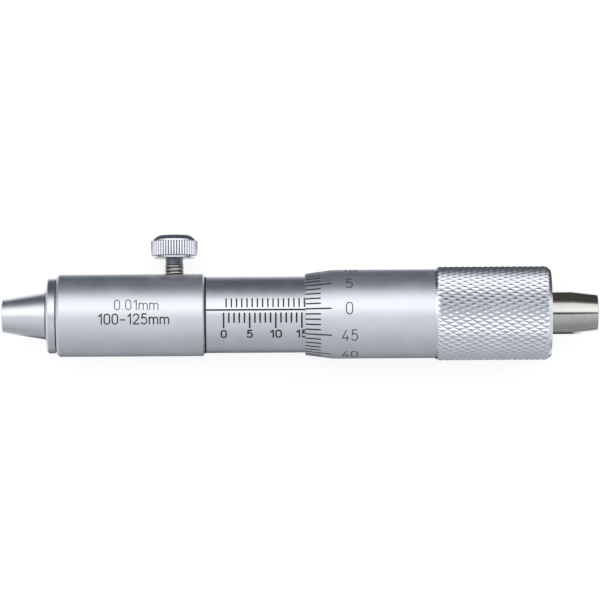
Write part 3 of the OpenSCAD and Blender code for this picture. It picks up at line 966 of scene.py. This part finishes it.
# Pen strokes of each sign, 1 high, with the width that it takes up
SIGNS = {
    "0": (0.56, [bow((0.28, 0.7), (0.28, 0.3), 0, 180) + bow((0.28, 0.3), (0.28, 0.3), 180, 360)
                 + [(0.56, 0.7)]]),
    "1": (0.34, [[(0.04, 0.76), (0.30, 1.0), (0.30, 0.0)]]),
    "2": (0.56, [bow((0.28, 0.72), (0.27, 0.28), 165, -35) + [(0.0, 0.0), (0.56, 0.0)]]),
    "3": (0.54, [bow((0.26, 0.76), (0.24, 0.24), 150, -90)
                 + bow((0.26, 0.26), (0.28, 0.26), 90, -150)[1:]]),
    "4": (0.58, [[(0.36, 1.0), (0.0, 0.24), (0.58, 0.24)], [(0.42, 0.46), (0.42, 0.0)]]),
    "5": (0.56, [[(0.50, 1.0), (0.10, 1.0), (0.05, 0.55)]
                 + bow((0.26, 0.33), (0.30, 0.33), 128, -145)]),
    "m": (0.86, [
        [(0.0, 0.0), (0.0, 0.66)],
        [(0.0, 0.40)] + bow((0.215, 0.45), (0.215, 0.21), 180, 0) + [(0.43, 0.0)],
        [(0.43, 0.40)] + bow((0.645, 0.45), (0.215, 0.21), 180, 0) + [(0.86, 0.0)],
    ]),
    ".": (0.10, [[(0.04, 0.03), (0.06, 0.03)]]),
    "-": (0.50, [[(0.04, 0.42), (0.46, 0.42)]]),
}
SIGN_GAP = 0.26


def lettering(text, height, width):
    """Pen strokes of a text, centred, with its outer height and width in millimetres."""
    strokes, pen_x = [], 0.0
    for sign in text:
        sign_width, lines = SIGNS[sign]
        strokes += [[(pen_x + u, v) for u, v in line] for line in lines]
        pen_x += sign_width + SIGN_GAP
    whole = pen_x - SIGN_GAP
    return [[((u / whole - 0.5) * width, (v - 0.5) * height) for u, v in line] for line in strokes]


def even_steps(path, longest=0.22):
    """A path with no step longer than a limit, so that it wraps round a cylinder."""
    result = [np.array(path[0], float)]
    for target in path[1:]:
        start, target = result[-1], np.array(target, float)
        far = np.linalg.norm(target - start)
        if far < 1e-6:
            continue
        count = math.ceil(far / longest)
        result += [start + (target - start) * k / count for k in range(1, count + 1)]
    return result


def pen_edges(path, pen):
    """Both edges of a pen stroke with round ends, as pairs of points."""
    sharpest = 0.6
    caps = [math.radians(a) for a in (30, 60, 82)]
    path = even_steps(path)
    is_loop = np.linalg.norm(path[0] - path[-1]) < SLACK
    ways = [(b - a) / np.linalg.norm(b - a) for a, b in zip(path, path[1:])]
    pairs = []
    for i, point in enumerate(path):
        before = ways[i - 1] if i > 0 or is_loop else ways[0]
        after = ways[i] if i < len(ways) else (ways[0] if is_loop else ways[-1])
        middle = before + after
        middle /= np.linalg.norm(middle)
        side = np.array([-middle[1], middle[0]]) * pen / 2 / max(sharpest, before @ middle)
        pairs.append((point + side, point - side))
    if is_loop:
        return pairs

    def cap(point, way):
        side = np.array([-way[1], way[0]])
        return [(point + (way * math.sin(a) + side * math.cos(a)) * pen / 2,
                 point + (way * math.sin(a) - side * math.cos(a)) * pen / 2) for a in caps]

    first = [(b, a) for a, b in cap(path[0], -ways[0])]
    return [*reversed(first), *pairs, *cap(path[-1], ways[-1])]


def marks_shape(strokes, radius_at):
    """Thin closed strips that lie on a turned surface.

    A stroke is a path of (along, up) points with its pen. Up is millimetres round the surface
    from a middle line in degrees.
    """
    points, faces = [], []
    for path, pen, x, up in strokes:
        pairs = pen_edges(path, pen)
        first = len(points)
        for pair in pairs:
            for lift in (MARK_LIFT, -MARK_SINK):
                for u, v in pair:
                    radius = radius_at(x + u)
                    turn = math.radians(MIDDLE_FROM_SCREW - up) - v / radius
                    points.append(on_axis(MEASURING_AXIS, x + u, radius + lift, turn))
        closes = np.linalg.norm(pairs[0][0] - pairs[-1][0]) < SLACK
        count = len(pairs) - 1
        for k in range(count):
            a = first + 4 * k
            b = first if closes and k == count - 1 else a + 4
            faces += [[a, a + 1, b + 1, b], [a + 2, b + 2, b + 3, a + 3],
                      [a, b, b + 2, a + 2], [a + 1, a + 3, b + 3, b + 1]]
        if not closes:
            end = first + 4 * count
            faces += [[first, first + 2, first + 3, first + 1], [end, end + 1, end + 3, end + 2]]
    return points, faces, None


def straight(x, up, x_end, up_end, pen, radius):
    """A straight mark along the axis or round it."""
    return [(0, 0), (x_end - x, math.radians(up_end - up) * radius)], pen, x, up


def add_marks(name, marks, radius_at, body):
    """Makes one piece of a set of marks."""
    add_piece(name, marks_shape(marks, radius_at), PAINT, body, crease=MARK_CREASE)


def make_sleeve_marks():
    """Datum line, millimetre and half millimetre lines, and their numbers."""
    line_pen, half_pen, number_pen = 0.32, 0.28, 0.30
    line_top, line_end, long_end = 2.2, -11.0, -19.3
    half_low, half_top = 12.2, 24.6
    number_up, number_height, number_widths = -30.0, 1.52, {1: 0.92, 2: 2.05}
    datum_x, datum_end_x = SLEEVE_X + 0.15, SLEEVE_END_X - 0.3
    marks = [straight(datum_x, DATUM_UP, datum_end_x, DATUM_UP, line_pen, SLEEVE_R)]
    for mm in range(SCALE_LEN + 1):
        x = SCALE_ZERO_X + mm
        numbered = mm % NUMBERED_EVERY == 0
        marks.append(straight(x, line_top, x, long_end if numbered else line_end, line_pen, SLEEVE_R))
        if mm < SCALE_LEN:
            marks.append(straight(x + 0.5, half_low, x + 0.5, half_top, half_pen, SLEEVE_R))
        if numbered:
            signs = lettering(str(mm), number_height, number_widths[len(str(mm))])
            marks += [(line, number_pen, x, number_up) for line in signs]
    add_marks("sleeve_marks", marks, lambda x: SLEEVE_R, "body")


def thimble_radius(x):
    """Radius of the thimble's plain part and reading bevel."""
    share = min(1, max(0, (x - THIMBLE_X) / (BEVEL_END_X - THIMBLE_X)))
    return EDGE_R + (PLAIN_R - EDGE_R) * share


def make_thimble_marks():
    """Fifty lines on the reading bevel, with a number at every fifth."""
    line_pen, number_pen, number_height = 0.28, 0.19, 2.28
    line_x, line_end_x, long_end_x = THIMBLE_X + 0.12, THIMBLE_X + 2.84, THIMBLE_X + 4.92
    number_x = THIMBLE_X + 8.3
    # Width of a number and its shift along the thimble, by its count of digits
    number_forms = {1: (1.18, 0.13), 2: (2.85, 0.22)}
    marks = []
    for k in range(THIMBLE_DIVISIONS):
        up = THIMBLE_ZERO_UP + k * 360 / THIMBLE_DIVISIONS
        numbered = k % NUMBERED_EVERY == 0
        end_x = long_end_x if numbered else line_end_x
        marks.append(straight(line_x, up, end_x, up, line_pen, EDGE_R))
        if numbered:
            width, shift = number_forms[len(str(k))]
            signs = lettering(str(k), number_height, width)
            marks += [(line, number_pen, number_x + shift, up) for line in signs]
    add_marks("thimble_marks", marks, thimble_radius, "thimble")


def make_body_marks():
    """Graduation and measuring range on the body: each with its place, width and pen."""
    height = 1.92
    texts = (("0.01mm", 26.27, 15.1, 8.35, 0.165), ("100-125mm", 25.74, -4.8, 13.45, 0.245))
    marks = []
    for text, x, up, width, pen in texts:
        marks += [(line, pen, x, up) for line in lettering(text, height, width)]
    add_marks("body_marks", marks, lambda x: BODY_R, "body")


def dress_cad_nodes():
    """Finishes of the inner pieces that keep their own solids."""
    finishes = {"barrel": STEEL, "adjusting_ring": STEEL, "thimble_nut": STEEL, "lock_pad": BRASS}
    for name, finish in finishes.items():
        mesh = frame["nodes"][name].data
        mesh.materials.clear()
        mesh.materials.append(finish)


# Stage

VIEW_TILT = math.radians(16.8)
VIEW_WAY = Vector((0, math.sin(VIEW_TILT), math.cos(VIEW_TILT)))
VIEW_UP = Vector((0, math.cos(VIEW_TILT), -math.sin(VIEW_TILT)))

# Where the cards beside the spindle's end begin, and how high flat cards lie
END_CARD_X = THIMBLE_END_X - 1
CARD_Z = BENCH_Z + 0.06


def glow_card(name, tone):
    """Material of a card that shows an even tone in reflections."""
    finish = bpy.data.materials.new(name)
    finish.use_nodes = True
    tree = finish.node_tree
    tree.nodes.clear()
    glow = add_node(tree, "ShaderNodeEmission", {"Color": tone, "Strength": 1.0})
    add_node(tree, "ShaderNodeOutputMaterial", {"Surface": glow.outputs[0]})
    return finish


def floor_finish():
    """White floor: it shows as white, also in metal, and keeps the object's shadow."""
    glow = 0.74
    finish, tree, shader = new_finish("white_floor", metallic=0.0)
    path = add_node(tree, "ShaderNodeLightPath").outputs
    seen = calculate("ADD", path["Is Camera Ray"], path["Is Glossy Ray"])
    seen = calculate("ADD", seen, path["Is Transmission Ray"])
    feed(shader["Base Color"], (0.4, 0.4, 0.4))
    feed(shader["Roughness"], 0.9)
    feed(shader["Specular IOR Level"], 0.0)
    feed(shader["Emission Color"], (1, 1, 1))
    feed(shader["Emission Strength"], calculate("MULTIPLY", seen, glow))
    return finish


def add_sheet(name, corners, finish):
    """A flat stage piece through corners in millimetres."""
    mesh = bpy.data.meshes.new(name)
    mesh.from_pydata([Vector(c) * MM for c in corners], [], [list(range(len(corners)))])
    mesh.materials.append(finish)
    sheet = bpy.data.objects.new(name, mesh)
    bpy.context.scene.collection.objects.link(sheet)
    return sheet


def add_card(name, corners, finish):
    """A studio card that shows only in reflections."""
    card = add_sheet(name, corners, finish)
    for kind in ("camera", "diffuse", "transmission", "volume_scatter", "shadow"):
        setattr(card, "visible_" + kind, False)


def add_flat_card(name, start, end, near_y, far_y, finish):
    """A card that lies just above the floor."""
    corners = [(start, near_y), (end, near_y), (end, far_y), (start, far_y)]
    add_card(name, [(x, y, CARD_Z) for x, y in corners], finish)


def make_world():
    """Soft light from all round that falls off towards both sides of the room."""
    world = bpy.data.worlds.new("studio")
    bpy.context.scene.world = world
    world.use_nodes = True
    tree = world.node_tree
    place = add_node(tree, "ShaderNodeTexCoord").outputs["Generated"]
    parts = add_node(tree, "ShaderNodeSeparateXYZ", {0: place}).outputs
    ramp = add_node(tree, "ShaderNodeValToRGB", {0: spread_values(parts[1], -1.0, 1.0)})
    tint = (0.96, 0.99, 1.05)
    stops = ((-1.0, 0.38), (-0.55, 0.58), (-0.1, 0.76), (0.20, 0.86), (0.45, 0.86),
             (0.82, 0.56), (0.96, 0.28))
    marks = ramp.color_ramp.elements
    while len(marks) < len(stops):
        marks.new(0.5)
    for mark, (side, level) in zip(marks, stops):
        mark.position = (side + 1) / 2
        mark.color = (*[level * t for t in tint], 1)
    feed(tree.nodes["Background"].inputs["Color"], ramp.outputs["Color"])


def make_floor():
    """Floor that reaches far past the picture."""
    reach = 6000
    corners = [(-reach, -reach), (reach, -reach), (reach, reach), (-reach, reach)]
    add_sheet("floor", [(x, y, BENCH_Z) for x, y in corners], floor_finish())


def make_cards():
    """Cards beside and under the object, which give the metal its bands."""
    left, right = -90, 205
    far_y, wall_y, wall_top = 34, 260, 36
    near_y, near_end_y = -25, -400
    under_x, under_end_x, under_y = 2, 113, -1
    dusk = glow_card("dusk_card", (0.066, 0.081, 0.112))
    dark = glow_card("dark_card", (0.035, 0.045, 0.065))
    grey = glow_card("grey_card", (0.30, 0.31, 0.33))
    black = glow_card("black_card", (0.02, 0.03, 0.04))
    brown = glow_card("brown_card", (0.082, 0.080, 0.072))
    beside = (
        ("far", left, END_CARD_X, 10.5, dusk, dark),
        ("end", END_CARD_X, right, 6.5, brown, brown),
    )
    for name, start, end, strip_y, strip_tone, tone in beside:
        add_flat_card(name + "_strip", start, end, strip_y, far_y, strip_tone)
        add_flat_card(name + "_card", start, end, far_y, wall_y, tone)
        wall = [(start, CARD_Z), (end, CARD_Z), (end, wall_top), (start, wall_top)]
        add_card(name + "_wall", [(x, wall_y, z) for x, z in wall], tone)
    add_flat_card("near_card", left, right, near_end_y, near_y, grey)
    add_flat_card("under_card", under_x, under_end_x, near_y, under_y, black)


def make_lens_card():
    """Dark of the camera's lens, which the spindle shows as a line."""
    tilt = VIEW_TILT - math.radians(3)
    far, half, left, right = 800, 68, -300, 400
    middle = Vector((0, math.sin(tilt), math.cos(tilt))) * far
    side = Vector((0, math.cos(tilt), -math.sin(tilt))) * half
    places = ((-side, left), (-side, right), (side, right), (side, left))
    corners = [middle + offset + AXIS_WAY * x for offset, x in places]
    add_card("lens_card", corners, glow_card("lens_card", (0.03, 0.03, 0.03)))


def make_soft_box():
    """Broad soft light above the far side of the object."""
    tilt, far, middle_x = math.radians(47.7), 0.6, 0.058
    radiance = 0.78
    box = bpy.data.lights.new("soft_box", "AREA")
    box.shape = "RECTANGLE"
    box.size, box.size_y = 1.5, 0.56
    box.energy = radiance * math.pi * box.size * box.size_y
    lamp = bpy.data.objects.new("soft_box", box)
    lamp.location = Vector((middle_x, far * math.sin(tilt), far * math.cos(tilt)))
    lamp.rotation_euler = (-tilt, 0, 0)
    bpy.context.scene.collection.objects.link(lamp)


def make_camera():
    """Camera at the photographed angle, a little left of the middle."""
    frame_width = 115.85
    distance = 1000.0
    roll = math.radians(0.353)
    stand_x, aim_x, aim_up = 50.0, 57.72, 2.786
    aim = AXIS_WAY * aim_x + VIEW_UP * aim_up
    stand = AXIS_WAY * stand_x + VIEW_UP * aim_up + VIEW_WAY * distance
    back = (stand - aim).normalized()
    up = (VIEW_UP - back * VIEW_UP.dot(back)).normalized()
    right = up.cross(back)
    turned_right = right * math.cos(roll) - up * math.sin(roll)
    turned_up = up * math.cos(roll) + right * math.sin(roll)
    camera = bpy.data.cameras.new("camera")
    camera.sensor_width = 36
    camera.lens = camera.sensor_width * (stand - aim).length / frame_width
    camera.clip_start, camera.clip_end = 0.05, 50
    holder = bpy.data.objects.new("camera", camera)
    axes = Matrix((turned_right, turned_up, back)).transposed().to_4x4()
    holder.matrix_world = Matrix.Translation(stand * MM) @ axes
    bpy.context.scene.collection.objects.link(holder)
    bpy.context.scene.camera = holder


make_anvil()
make_insert("anvil_face", 0, 1, "body", "anvil_insert")
make_body()
make_sleeve()
make_seams()
make_spindle()
make_insert("spindle_face", FACE_X, -1, "spindle", "spindle_insert")
make_thimble_plain()
make_grip()
make_knob()
make_stud()
make_sleeve_marks()
make_thimble_marks()
make_body_marks()
dress_cad_nodes()
make_floor()
make_cards()
make_lens_card()
make_world()
make_soft_box()
make_camera()
bpy.context.scene.view_settings.view_transform = "Standard"
